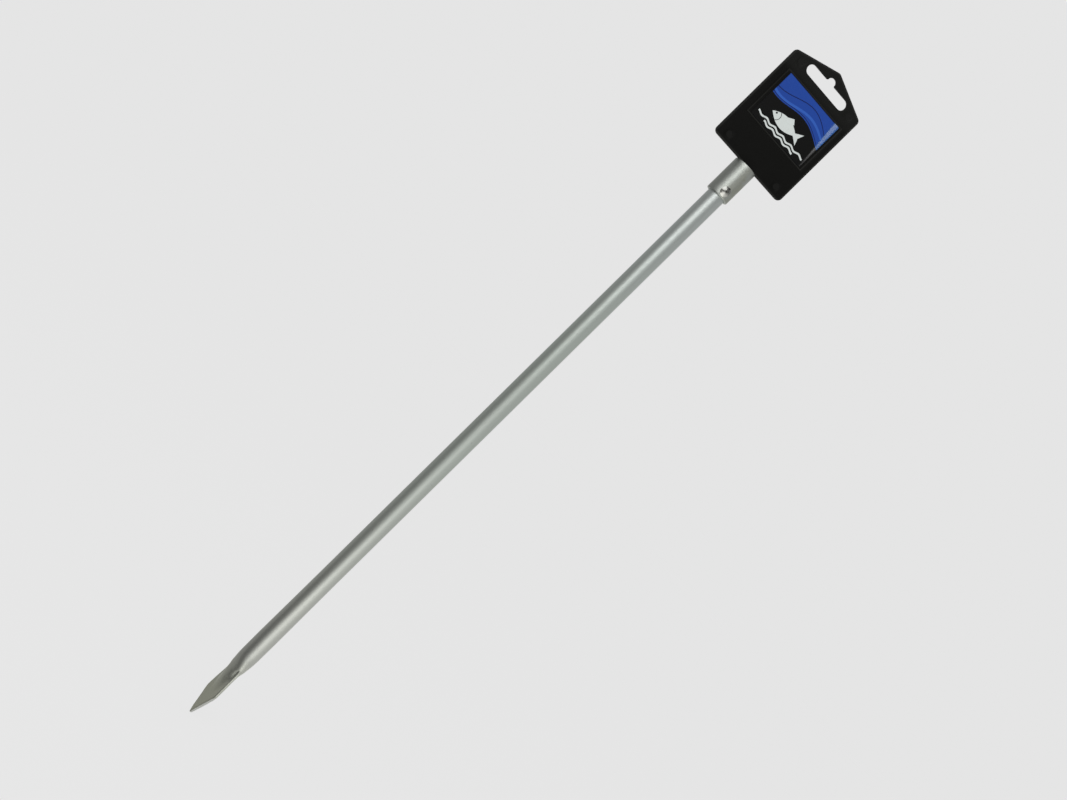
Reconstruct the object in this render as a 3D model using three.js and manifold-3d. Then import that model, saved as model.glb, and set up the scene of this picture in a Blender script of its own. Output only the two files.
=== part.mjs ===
// A bank stick on its hang card: an aluminium tube pressed flat into a spear at its foot,
// a threaded head riveted over its top, and a moulded hang card screwed into that head.
// Millimetres, +Z up along the stick, origin at the point of the spear, card front facing -Y.
import * as THREE from "three";
import { mergeVertices } from "three/addons/utils/BufferGeometryUtils.js";
import Module from "manifold-3d";

// Tube
const tubeDiameter = 12;
const tubeWall = 1;

// Spear, pressed from the foot of the tube
const bladeTopHeight = 33.5;
const flareLength = 13.5;
const nearShoulderHeight = 16;
const farShoulderHeight = 19;
const neckDraw = 0.9;
const bladeSetBack = 0.4;
const pointSetOver = 0.6;
const pointFlat = 0.8;
const closedGap = 0.3;
const bladeTurn = THREE.MathUtils.degToRad(-78.2);

// Threaded head, slipped over the top of the tube
const headTopHeight = 462.4;
const headLength = 25;
const headWall = 1.55;
const headEdge = 0.5;
const socketDiameter = 9.6;
const socketDepth = 12.5;
const socketMouth = 0.7;
const tubeClearance = 0.1;

// Blind rivet through the head and the tube
const rivetUpLapShare = 0.424;
const rivetHeadDiameter = 5.8;
const rivetHeadEdge = 0.3;
const rivetDome = 1.1;
const rivetShankDiameter = 3.2;
const rivetBulbSwell = 0.5;
const rivetBulbLength = 2.6;
const rivetHoleClearance = 0.1;
const mandrelDiameter = 1.7;
const mandrelHeadDiameter = 2.8;
const mandrelHeadLength = 1.6;
const mandrelBreakDepth = 0.7;
const mandrelClearance = 0.1;

// Screw stud of the hang card
const studLength = 8;
const studClearance = 0.2;
const studChamfer = 0.8;
const studSeam = 0.15;

// Hang card
const cardWidth = 59.6;
const cardSideHeight = 68.7;
const cardPeakRise = 10.1;
const cardThickness = 2;
const cardCorner = 2.8;
const cardPeakCorner = 3;
const cardEdge = 0.25;
const cardSeat = 0.3;

// Slot that a display peg goes through
const slotLength = 33.4;
const slotHeight = 7.1;
const humpRadius = 2.9;
const humpFillet = 0.7;
const humpToPeak = 4.7;

// Label, stuck in a shallow recess
const recessWidth = 46.9;
const recessHeight = 34;
const recessBelowSlot = 5.8;
const recessDepth = 0.35;
const recessCorner = 0.8;
const labelThickness = 0.15;
const labelMargin = 0.4;
const labelGlue = 0.1;

// How far a cutter runs past what it cuts, and how near two corners count as one
const overrun = 1;
const weldDistance = 0.0005;

// Facets
const roundSides = 48;
const halfTurnSteps = roundSides / 2;
const flareSteps = 14;
const bladeSteps = 3;
const smallSides = 24;
const domeSteps = 6;
const cornerSteps = 5;
const edgeSteps = 2;

const tubeRadius = tubeDiameter / 2;
const roundFromHeight = bladeTopHeight + flareLength;
const headRadius = tubeRadius + tubeClearance + headWall;
const socketRadius = socketDiameter / 2;
const headFoot = headTopHeight - headLength;
const tubeTopHeight = headTopHeight - socketDepth - tubeClearance;
const rivetHeight = headFoot + rivetUpLapShare * (headLength - socketDepth);
const cardBase = headTopHeight + cardSeat;
const cardPeak = cardBase + cardSideHeight + cardPeakRise;
const slotTop = cardPeak - humpToPeak - humpRadius - humpFillet;
const slotBase = slotTop - slotHeight;
const recessTop = slotBase - recessBelowSlot;
const bladeHalfWidth = (Math.PI / 2) * (tubeRadius - tubeWall) + tubeWall;

const wasm = await Module();
wasm.setup();

// Solids and meshes

function solidOf(geometry) {
  const bare = geometry.index ? geometry.toNonIndexed() : geometry.clone();
  bare.deleteAttribute("normal");
  bare.deleteAttribute("uv");
  const merged = mergeVertices(bare, weldDistance);
  const corners = merged.index.array;
  const kept = [];
  for (let i = 0; i < corners.length; i += 3) {
    const [a, b, c] = corners.subarray(i, i + 3);
    if (a !== b && b !== c && c !== a) kept.push(a, b, c);
  }
  const mesh = new wasm.Mesh({
    numProp: 3,
    vertProperties: merged.attributes.position.array,
    triVerts: new Uint32Array(kept),
  });
  return new wasm.Manifold(mesh);
}

function geometryOf(solid) {
  const mesh = solid.getMesh();
  const geometry = new THREE.BufferGeometry();
  geometry.setAttribute("position", new THREE.BufferAttribute(mesh.vertProperties, 3));
  geometry.setIndex(new THREE.BufferAttribute(mesh.triVerts, 1));
  geometry.computeVertexNormals();
  return geometry;
}

function meshOf(name, solid, material) {
  const mesh = new THREE.Mesh(geometryOf(solid), material);
  mesh.name = name;
  return mesh;
}

// A revolve about +Z of a profile of [radius, height] points, which closes on itself
// or ends on the axis.
function revolve(profile, sides) {
  const points = profile.map(([radius, height]) => new THREE.Vector2(radius, height));
  const geometry = new THREE.LatheGeometry(points, sides);
  geometry.rotateX(Math.PI / 2);
  return geometry;
}

// A skin over closed rings of equally many points, listed from the foot up, with flat ends.
function loft(rings) {
  const count = rings[0].length;
  const positions = rings.flat().flatMap((point) => point.toArray());
  const index = [];
  for (let ring = 0; ring + 1 < rings.length; ring++) {
    for (let i = 0; i < count; i++) {
      const next = (i + 1) % count;
      const low = ring * count;
      const high = low + count;
      index.push(low + i, low + next, high + next, low + i, high + next, high + i);
    }
  }
  const last = (rings.length - 1) * count;
  for (let i = 1; i + 1 < count; i++) {
    index.push(0, i + 1, i, last, last + i, last + i + 1);
  }
  const geometry = new THREE.BufferGeometry();
  geometry.setAttribute("position", new THREE.Float32BufferAttribute(positions, 3));
  geometry.setIndex(index);
  return geometry;
}

// A shape through corners of [x, y, radius], each rounded by its radius.
function roundedShape(corners) {
  const shape = new THREE.Shape();
  corners.forEach(([x, y, radius], i) => {
    const corner = new THREE.Vector2(x, y);
    const before = new THREE.Vector2(...corners.at(i - 1));
    const after = new THREE.Vector2(...corners[(i + 1) % corners.length]);
    const toward = before.sub(corner).normalize();
    const onward = after.sub(corner).normalize();
    const reach = radius / Math.tan(toward.angleTo(onward) / 2);
    const start = corner.clone().addScaledVector(toward, reach);
    const end = corner.clone().addScaledVector(onward, reach);
    if (i === 0) shape.moveTo(start.x, start.y);
    else shape.lineTo(start.x, start.y);
    shape.quadraticCurveTo(x, y, end.x, end.y);
  });
  shape.closePath();
  return shape;
}

// A plate standing in the XZ plane, centred on y = 0, with its edges broken by the given bevel.
function standingPlate(shape, thickness, bevel) {
  const geometry = new THREE.ExtrudeGeometry(shape, {
    depth: thickness - 2 * bevel,
    curveSegments: cornerSteps,
    bevelEnabled: bevel > 0,
    bevelThickness: bevel,
    bevelSize: bevel,
    bevelOffset: -bevel,
    bevelSegments: edgeSteps,
  });
  geometry.translate(0, 0, bevel - thickness / 2);
  geometry.rotateX(Math.PI / 2);
  return geometry;
}

// A plain round cutter on a rivet's axis, from outside the head to the middle of the tube.
function rivetHole() {
  const radius = rivetShankDiameter / 2 + rivetHoleClearance;
  const length = headRadius + overrun;
  const hole = new THREE.CylinderGeometry(radius, radius, length, smallSides);
  hole.translate(0, -length / 2, rivetHeight);
  return solidOf(hole);
}

// Spear tube. Pressing keeps the length round the wall, so the flats grow as the tube closes.

function openness(height) {
  return THREE.MathUtils.smoothstep(height, bladeTopHeight, roundFromHeight);
}

function spearSection(height, wallsIn) {
  const open = openness(height);
  const half = tubeWall + (tubeRadius - tubeWall) * open;
  const neck = THREE.MathUtils.smoothstep(height, farShoulderHeight, bladeTopHeight) * (1 - open);
  const flat = Math.PI * (tubeRadius - half) - neckDraw * neck;
  return { flat, half: half - wallsIn, setBack: bladeSetBack * (1 - open) };
}

// A ring of two flats joined by half circles, across the blade's width and thickness.
function spearRing(height, wallsIn) {
  const { flat, half, setBack } = spearSection(height, wallsIn);
  const ring = [];
  for (const side of [1, -1]) {
    for (let step = 0; step <= halfTurnSteps; step++) {
      const angle = (Math.PI / 2) * ((2 * step) / halfTurnSteps - 1);
      const across = side * (flat / 2 + half * Math.cos(angle));
      const through = side * half * Math.sin(angle) - setBack;
      ring.push(new THREE.Vector3(across, through, height));
    }
  }
  return ring;
}

function evenly(from, to, steps) {
  return Array.from({ length: steps + 1 }, (_, i) => from + ((to - from) * i) / steps);
}

function spearOutside() {
  const blade = evenly(farShoulderHeight, bladeTopHeight, bladeSteps);
  const flare = evenly(bladeTopHeight, roundFromHeight, flareSteps);
  const heights = [-overrun, ...blade, ...flare.slice(1), tubeTopHeight];
  return solidOf(loft(heights.map((height) => spearRing(height, 0))));
}

// The hollow starts where the walls part and runs out of the open top.
function spearHollow() {
  const flare = evenly(bladeTopHeight, roundFromHeight, flareSteps);
  const parted = (height) => 2 * spearSection(height, tubeWall).half > closedGap;
  const heights = [...flare.filter(parted), tubeTopHeight + overrun];
  return solidOf(loft(heights.map((height) => spearRing(height, tubeWall))));
}

// What two slanting cuts leave of the blade: a point a little off the tube's axis.
function pointOutline() {
  const near = bladeHalfWidth + pointSetOver - pointFlat / 2;
  const far = bladeHalfWidth - pointSetOver - pointFlat / 2;
  const reach = bladeHalfWidth + overrun;
  const nearRise = (nearShoulderHeight * (near + overrun)) / near;
  const farRise = (farShoulderHeight * (far + overrun)) / far;
  const shape = new THREE.Shape();
  shape.moveTo(-pointSetOver - pointFlat / 2, 0);
  shape.lineTo(-pointSetOver + pointFlat / 2, 0);
  shape.lineTo(reach, nearRise);
  shape.lineTo(reach, tubeTopHeight + overrun);
  shape.lineTo(-reach, tubeTopHeight + overrun);
  shape.lineTo(-reach, farRise);
  shape.closePath();
  return solidOf(standingPlate(shape, 2 * (tubeDiameter + bladeSetBack), 0));
}

function spearTube() {
  const pressed = spearOutside().subtract(spearHollow()).intersect(pointOutline());
  const turned = geometryOf(pressed).rotateZ(bladeTurn);
  return solidOf(turned).subtract(rivetHole());
}

// Threaded head: bored from below for the tube, and from above for a 3/8 inch screw.

function threadedHead() {
  const sleeve = tubeRadius + tubeClearance;
  const shoulder = headTopHeight - socketDepth;
  const profile = [
    [sleeve + headEdge, headFoot],
    [headRadius - headEdge, headFoot],
    [headRadius, headFoot + headEdge],
    [headRadius, headTopHeight - headEdge],
    [headRadius - headEdge, headTopHeight],
    [socketRadius + socketMouth, headTopHeight],
    [socketRadius, headTopHeight - socketMouth],
    [socketRadius, shoulder],
    [sleeve, shoulder],
    [sleeve, headFoot + headEdge],
    [sleeve + headEdge, headFoot],
  ];
  return solidOf(revolve(profile, roundSides)).subtract(rivetHole());
}

// Blind rivet, drawn on its own axis with height 0 under its head, then laid to face -Y.

function rivetGrip() {
  return headRadius + tubeClearance - (tubeRadius - tubeWall);
}

function laidOnHead(geometry) {
  geometry.rotateX(Math.PI / 2);
  geometry.translate(0, -headRadius - tubeClearance, rivetHeight);
  return solidOf(geometry);
}

function rivetBody() {
  const bore = mandrelDiameter / 2 + mandrelClearance;
  const shank = rivetShankDiameter / 2;
  const grip = -rivetGrip() - rivetHoleClearance;
  const dome = evenly(0, Math.PI / 2, domeSteps).map((turn) => [
    bore + (rivetHeadDiameter / 2 - bore) * Math.cos(turn),
    rivetHeadEdge + (rivetDome - rivetHeadEdge) * Math.sin(turn),
  ]);
  const swell = evenly(0, Math.PI, domeSteps).map((turn) => [
    shank + rivetBulbSwell * Math.sin(turn),
    grip - rivetBulbLength * (turn / Math.PI),
  ]);
  const profile = [
    [bore, rivetDome],
    [bore, grip - rivetBulbLength],
    ...swell.reverse(),
    [shank, 0],
    [rivetHeadDiameter / 2, 0],
    ...dome,
  ];
  return laidOnHead(revolve(profile, smallSides));
}

function rivetMandrel() {
  const stem = mandrelDiameter / 2;
  const head = mandrelHeadDiameter / 2;
  const seat = -rivetGrip() - rivetHoleClearance - rivetBulbLength - mandrelClearance;
  const broken = rivetDome - mandrelBreakDepth;
  const cap = evenly(0, Math.PI / 2, domeSteps).map((turn) => [
    head * Math.sin(turn),
    seat - mandrelHeadLength * Math.cos(turn),
  ]);
  const profile = [...cap, [stem, seat], [stem, broken], [0, broken]];
  return laidOnHead(revolve(profile, smallSides));
}

// Hang card

function cardStud() {
  const radius = socketRadius - studClearance;
  const foot = headTopHeight - studLength;
  const top = cardBase - studSeam;
  const profile = [
    [0, foot],
    [radius - studChamfer, foot],
    [radius, foot + studChamfer],
    [radius, top],
    [0, top],
  ];
  return solidOf(revolve(profile, roundSides));
}

function slotPath() {
  const end = slotHeight / 2;
  const run = slotLength / 2 - end;
  const humpCentre = slotTop + humpFillet;
  const foot = humpRadius + humpFillet;
  const path = new THREE.Path();
  path.moveTo(-run, slotBase);
  path.lineTo(run, slotBase);
  path.absarc(run, slotBase + end, end, -Math.PI / 2, Math.PI / 2, false);
  path.lineTo(foot, slotTop);
  path.quadraticCurveTo(humpRadius, slotTop, humpRadius, humpCentre);
  path.absarc(0, humpCentre, humpRadius, 0, Math.PI, false);
  path.quadraticCurveTo(-humpRadius, slotTop, -foot, slotTop);
  path.lineTo(-run, slotTop);
  path.absarc(-run, slotBase + end, end, Math.PI / 2, (3 * Math.PI) / 2, false);
  return path;
}

function cardOutline() {
  const side = cardWidth / 2;
  const shape = roundedShape([
    [-side, cardBase, cardCorner],
    [side, cardBase, cardCorner],
    [side, cardBase + cardSideHeight, cardCorner],
    [0, cardPeak, cardPeakCorner],
    [-side, cardBase + cardSideHeight, cardCorner],
  ]);
  shape.holes.push(slotPath());
  return shape;
}

// A rounded panel on the card's front, smaller than the recess by a margin all round.
function frontPanel(margin, corner, backDepth, thickness) {
  const side = recessWidth / 2 - margin;
  const base = recessTop - recessHeight + margin;
  const top = recessTop - margin;
  const shape = roundedShape([
    [-side, base, corner],
    [side, base, corner],
    [side, top, corner],
    [-side, top, corner],
  ]);
  const geometry = standingPlate(shape, thickness, 0);
  geometry.translate(0, backDepth - thickness / 2 - cardThickness / 2, 0);
  return solidOf(geometry);
}

function hangCard() {
  const recess = frontPanel(0, recessCorner, recessDepth, recessDepth + overrun);
  return solidOf(standingPlate(cardOutline(), cardThickness, cardEdge)).subtract(recess);
}

function cardLabel() {
  return frontPanel(labelMargin, recessCorner, recessDepth - labelGlue, labelThickness);
}

// Finishes

const drawnAluminium = new THREE.MeshStandardMaterial({
  color: 0xb4b8b6,
  roughness: 0.32,
  metalness: 1,
});
const turnedAluminium = new THREE.MeshStandardMaterial({
  color: 0xa2a69c,
  roughness: 0.4,
  metalness: 1,
});
const rivetAluminium = new THREE.MeshStandardMaterial({
  color: 0xd6d8d4,
  roughness: 0.2,
  metalness: 1,
});
const mandrelSteel = new THREE.MeshStandardMaterial({
  color: 0x5a5a58,
  roughness: 0.45,
  metalness: 1,
});
const blackPlastic = new THREE.MeshStandardMaterial({
  color: 0x161614,
  roughness: 0.45,
  metalness: 0,
});
const labelPaper = new THREE.MeshStandardMaterial({
  color: 0x2a3fa0,
  roughness: 0.25,
  metalness: 0,
});

const stick = new THREE.Group();
stick.add(
  meshOf("spear_tube", spearTube(), drawnAluminium),
  meshOf("threaded_head", threadedHead(), turnedAluminium),
  meshOf("rivet_body", rivetBody(), rivetAluminium),
  meshOf("rivet_mandrel", rivetMandrel(), mandrelSteel),
);

const hanger = new THREE.Group();
hanger.add(
  meshOf("card_stud", cardStud(), blackPlastic),
  meshOf("hang_card", hangCard(), blackPlastic),
  meshOf("card_label", cardLabel(), labelPaper),
);

const bankStick = new THREE.Group();
bankStick.add(stick, hanger);

export default bankStick;
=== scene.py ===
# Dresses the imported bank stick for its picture: pressed spear tube, threaded head, blind rivet,
# and the hang card with its screw stud and label. Shapes are worked out in millimetres.
import math

import bmesh
import bpy
import numpy as np
from mathutils import Matrix, Vector
from mathutils.geometry import delaunay_2d_cdt


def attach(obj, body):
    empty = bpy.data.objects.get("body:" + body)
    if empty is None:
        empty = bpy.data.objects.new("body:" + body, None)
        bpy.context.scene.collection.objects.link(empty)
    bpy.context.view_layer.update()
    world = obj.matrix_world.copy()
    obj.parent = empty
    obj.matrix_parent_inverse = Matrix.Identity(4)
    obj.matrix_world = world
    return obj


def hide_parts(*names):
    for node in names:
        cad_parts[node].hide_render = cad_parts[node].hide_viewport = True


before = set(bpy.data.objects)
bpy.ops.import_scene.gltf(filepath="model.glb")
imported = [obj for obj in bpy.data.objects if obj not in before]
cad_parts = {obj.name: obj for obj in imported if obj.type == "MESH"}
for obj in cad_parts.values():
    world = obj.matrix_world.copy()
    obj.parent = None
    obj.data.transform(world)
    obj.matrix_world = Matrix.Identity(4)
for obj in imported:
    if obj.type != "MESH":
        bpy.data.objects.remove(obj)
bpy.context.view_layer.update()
scene = bpy.context.scene
millimetre = 0.001

# The stick stands upright, so the camera lies over on its side to see it slant up to the right.
# Angles are in degrees and lengths in metres.
shot = {"azimuth": -15.9, "roll": 44.57, "distance": 0.98, "lens": 55.65, "sensor": 36,
        "nearest": 0.01, "farthest": 100, "aimHeight": 0.2753, "aimAside": 0.01029}
azimuth = math.radians(shot["azimuth"])
towardCamera = Vector((math.sin(azimuth), -math.cos(azimuth), 0))
asideRight = Vector((math.cos(azimuth), math.sin(azimuth), 0))
upright = Vector((0, 0, 1))
roll = math.radians(shot["roll"])
imageRight = math.cos(roll) * upright + math.sin(roll) * asideRight
imageUp = math.sin(roll) * upright - math.cos(roll) * asideRight
aim = shot["aimAside"] * asideRight + shot["aimHeight"] * upright


# A pose at a place, turned as the camera is: x and y along the picture, z toward the camera.
def facing(place):
    turn = Matrix((imageRight, imageUp, towardCamera)).transposed().to_4x4()
    return Matrix.Translation(place) @ turn


# Puts something new into the scene.
def put(name, data):
    thing = bpy.data.objects.new(name, data)
    scene.collection.objects.link(thing)
    return thing


# A camera at the shot's distance from its aim.
def addCamera():
    data = bpy.data.cameras.new("camera")
    data.lens, data.sensor_width, data.sensor_fit = shot["lens"], shot["sensor"], "HORIZONTAL"
    data.clip_start, data.clip_end = shot["nearest"], shot["farthest"]
    scene.camera = put("camera", data)
    scene.camera.matrix_world = facing(aim + shot["distance"] * towardCamera)


addCamera()
scene.view_settings.view_transform = "Standard"
print("camera in place")


# A number that varies over a surface. Sums on it add Math nodes to its material.
class Field:
    def __init__(self, tree, socket):
        self.tree, self.socket = tree, socket

    def math(self, operation, *values, clamp=False):
        node = self.tree.nodes.new("ShaderNodeMath")
        node.operation, node.use_clamp = operation, clamp
        for slot, value in zip(node.inputs, values):
            if isinstance(value, Field):
                self.tree.links.new(value.socket, slot)
            else:
                slot.default_value = value
        return Field(self.tree, node.outputs[0])

    def __add__(self, other):
        return self.math("ADD", self, other)

    def __radd__(self, other):
        return self.math("ADD", other, self)

    def __sub__(self, other):
        return self.math("SUBTRACT", self, other)

    def __rsub__(self, other):
        return self.math("SUBTRACT", other, self)

    def __mul__(self, other):
        return self.math("MULTIPLY", self, other)

    def __rmul__(self, other):
        return self.math("MULTIPLY", other, self)

    def __truediv__(self, other):
        return self.math("DIVIDE", self, other)

    def __abs__(self):
        return self.math("ABSOLUTE", self)

    def sine(self):
        return self.math("SINE", self)

    def root(self):
        return self.math("SQRT", self)

    def least(self, other):
        return self.math("MINIMUM", self, other)

    def most(self, other):
        return self.math("MAXIMUM", self, other)

    # Kept between 0 and 1.
    def held(self):
        return self.math("ADD", self, 0.0, clamp=True)

    # 0 below low, 1 above high, eased between them.
    def between(self, low, high):
        share = self.math("DIVIDE", self - low, high - low, clamp=True)
        return share * share * (3 - 2 * share)


# One material under construction, with one method that adds any other node.
class Finish:
    def __init__(self, name, owner=None):
        self.material = owner or bpy.data.materials.new(name)
        self.material.use_nodes = True
        self.tree = self.material.node_tree
        self.tree.nodes.clear()
        self.place = None

    # A node of this type: its settings first, then the values or links of its sockets.
    def add(self, kind, settings=None, **sockets):
        node = self.tree.nodes.new(kind)
        for key, value in (settings or {}).items():
            setattr(node, key, value)
        for key, value in sockets.items():
            slot = next(s for s in node.inputs if s.enabled and s.name.replace(" ", "_") == key)
            if isinstance(value, Field):
                self.tree.links.new(value.socket, slot)
            elif isinstance(value, bpy.types.NodeSocket):
                self.tree.links.new(value, slot)
            elif isinstance(value, tuple) and len(value) == 3 and slot.type == "RGBA":
                slot.default_value = (*value, 1)
            else:
                slot.default_value = value
        return node

    # A node's output as a number for sums.
    def field(self, socket):
        return Field(self.tree, socket)

    # Place on the object, in metres. One node serves the whole material.
    def spot(self):
        if self.place is None:
            self.place = self.add("ShaderNodeTexCoord").outputs["Object"]
        return self.place

    # Place on the object, in millimetres, as three numbers.
    def axes(self):
        split = self.add("ShaderNodeSeparateXYZ", Vector=self.spot())
        return [self.field(socket) / millimetre for socket in split.outputs]

    # Cloudy grain from 0 to 1, with about so many features a metre across and along the stick.
    def noise(self, across, along=None, detail=3.0, roughness=0.5, shift=0.0):
        scale = (across, across, across if along is None else along)
        place = self.add("ShaderNodeMapping", Vector=self.spot(), Location=(shift,) * 3,
                         Scale=scale)
        node = self.add("ShaderNodeTexNoise", Vector=place.outputs[0], Scale=1.0, Detail=detail,
                        Roughness=roughness)
        return self.field(node.outputs["Fac"])

    # A colour between two colours, each a triple or a link.
    def mixed(self, share, first, second):
        node = self.add("ShaderNodeMix", {"data_type": "RGBA"}, Factor=share, A=first, B=second)
        return node.outputs["Result"]

    # A number that the mesh holds for each of its points.
    def attribute(self, name):
        node = self.add("ShaderNodeAttribute", {"attribute_name": name})
        return self.field(node.outputs["Fac"])

    # Normals for a height from 0 to 1 that stands for so many millimetres.
    def bump(self, height, depth):
        node = self.add("ShaderNodeBump", Height=height, Strength=1.0,
                        Distance=depth * millimetre)
        return node.outputs[0]

    def done(self, shader):
        self.add("ShaderNodeOutputMaterial", Surface=shader.outputs[0])
        return self.material

    # The material with one plain shader that has these values or links.
    def principled(self, **sockets):
        return self.done(self.add("ShaderNodeBsdfPrincipled", **sockets))


# How far a place lies from a centre of (x, z): the root of the sum of the squares.
def fromPoint(x, z, centre):
    across, up = x - centre[0], z - centre[1]
    return (across * across + up * up).root()


# How far a place lies outside a box of (x0, z0, x1, z1), less than 0 inside it.
def fromBox(x, z, box):
    beside = abs(x - (box[0] + box[2]) / 2) - (box[2] - box[0]) / 2
    return beside.most(abs(z - (box[1] + box[3]) / 2) - (box[3] - box[1]) / 2)


# 1 on a line where the distance from its middle is under half its width, with a soft edge.
def line(distance, halfWidth, soft=0.06):
    return 1 - (abs(distance) - halfWidth).between(-soft, soft)


# Points and faces of a grid of rows of points that close round. Two end points close it like a
# bag; with none, the last row joins the first like a ring.
def skin(rows, ends=None):
    count, around = rows.shape[:2]
    grid = np.arange(count * around).reshape(count, around)
    points = rows.reshape(-1, 3)
    if ends is None:
        grid = np.vstack([grid, grid[:1]])
    low, high = grid[:-1], grid[1:]
    quads = np.stack([low, np.roll(low, -1, 1), np.roll(high, -1, 1), high], -1)
    faces = quads.reshape(-1, 4).tolist()
    if ends is not None:
        first, last = len(points), len(points) + 1
        points = np.vstack([points, ends])
        faces += np.stack([np.roll(grid[0], -1), grid[0], np.full(around, first)], -1).tolist()
        faces += np.stack([grid[-1], np.roll(grid[-1], -1), np.full(around, last)], -1).tolist()
    return points, faces


# Quads between the rows of a grid of points' numbers.
def gridQuads(ids):
    return np.stack([ids[:-1, :-1], ids[:-1, 1:], ids[1:, 1:], ids[1:, :-1]], -1).reshape(-1, 4)


meeting = 0.002                                        # points nearer than this are one point


# A mesh from points in millimetres, facing outwards, that rides on a body for a CAD node. Points
# that meet are merged, unless each has its own marks.
def makePiece(name, points, faces, finish, body, slotName, node, creaseAngle=40, marks=None):
    mesh = bpy.data.meshes.new(name)
    mesh.from_pydata((points * millimetre).tolist(), [], faces)
    shell = bmesh.new()
    shell.from_mesh(mesh)
    if marks is None:
        bmesh.ops.remove_doubles(shell, verts=shell.verts, dist=meeting * millimetre)
    bmesh.ops.recalc_face_normals(shell, faces=shell.faces)
    if shell.calc_volume(signed=True) < 0:
        bmesh.ops.reverse_faces(shell, faces=shell.faces)
    shell.to_mesh(mesh)
    shell.free()
    for key, values in (marks or {}).items():
        layer = mesh.attributes.new(key, "FLOAT", "POINT")
        layer.data.foreach_set("value", np.asarray(values, np.float32))
    mesh.materials.append(finish)
    piece = put(name, mesh)
    mesh.shade_smooth()
    mesh.set_sharp_from_angle(angle=math.radians(creaseAngle))
    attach(piece, body)
    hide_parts(node)
    print(name, "has", len(mesh.vertices), "points")


# 0 below low, 1 above high, and 3 share^2 - 2 share^3 between them.
def eased(value, low, high):
    share = np.clip((value - low) / (high - low), 0, 1)
    return share * share * (3 - 2 * share)


# A path of points through corners of (x, y, radius), each corner an arc of that radius. A corner
# that is nearly straight stays a point.
def rounded(corners, steps=5, straight=1.55):
    path = []
    for i, (x, y, radius) in enumerate(corners):
        corner = np.array([x, y], float)
        toward = np.array(corners[i - 1][:2], float) - corner
        onward = np.array(corners[(i + 1) % len(corners)][:2], float) - corner
        toward, onward = toward / np.linalg.norm(toward), onward / np.linalg.norm(onward)
        half = math.acos(np.clip(toward @ onward, -1, 1)) / 2
        if radius == 0 or half > straight:
            path.append(corner)
            continue
        middle = toward + onward
        centre = corner + middle / np.linalg.norm(middle) * radius / math.sin(half)
        start = corner + toward * radius / math.tan(half) - centre
        end = corner + onward * radius / math.tan(half) - centre
        swing = math.atan2(start[0] * end[1] - start[1] * end[0], start @ end)
        for turn in np.linspace(0, swing, steps + 1):
            c, s = math.cos(turn), math.sin(turn)
            path.append(centre + [c * start[0] - s * start[1], s * start[0] + c * start[1]])
    return np.array(path)


# Rows of points of a profile of (radius, height) turned about the stick's axis. Where rise is
# given, it's a function of angle and height that is added to the radius.
def turned(profile, sides, rise=None):
    angle = np.linspace(0, 2 * np.pi, sides, endpoint=False)
    radius = np.repeat(profile[:, :1], sides, 1)
    height = np.repeat(profile[:, 1:2], sides, 1)
    if rise is not None:
        radius = radius + rise(angle[None, :], height, profile[:, :1])
    return np.stack([radius * np.cos(angle), radius * np.sin(angle), height], -1)


screw = {"pitch": 1.27, "socketRadius": 4.8, "socketDepth": 0.8, "studRadius": 4.6,
         "studDepth": 0.75, "crest": 0.12, "root": 0.88, "runOut": 0.9, "turnRows": 12}


# How far into a groove a point of a right-hand screw thread is, from 0 on the outer crest to 1 in
# the groove: a cosine of its way along the pitch, flattened at crest and root. Stud and socket
# share it, so that they mesh.
def thread(angle, height):
    phase = height / screw["pitch"] - angle / (2 * np.pi)
    return eased(0.5 + 0.5 * np.cos(2 * np.pi * phase), screw["crest"], screw["root"])


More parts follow.
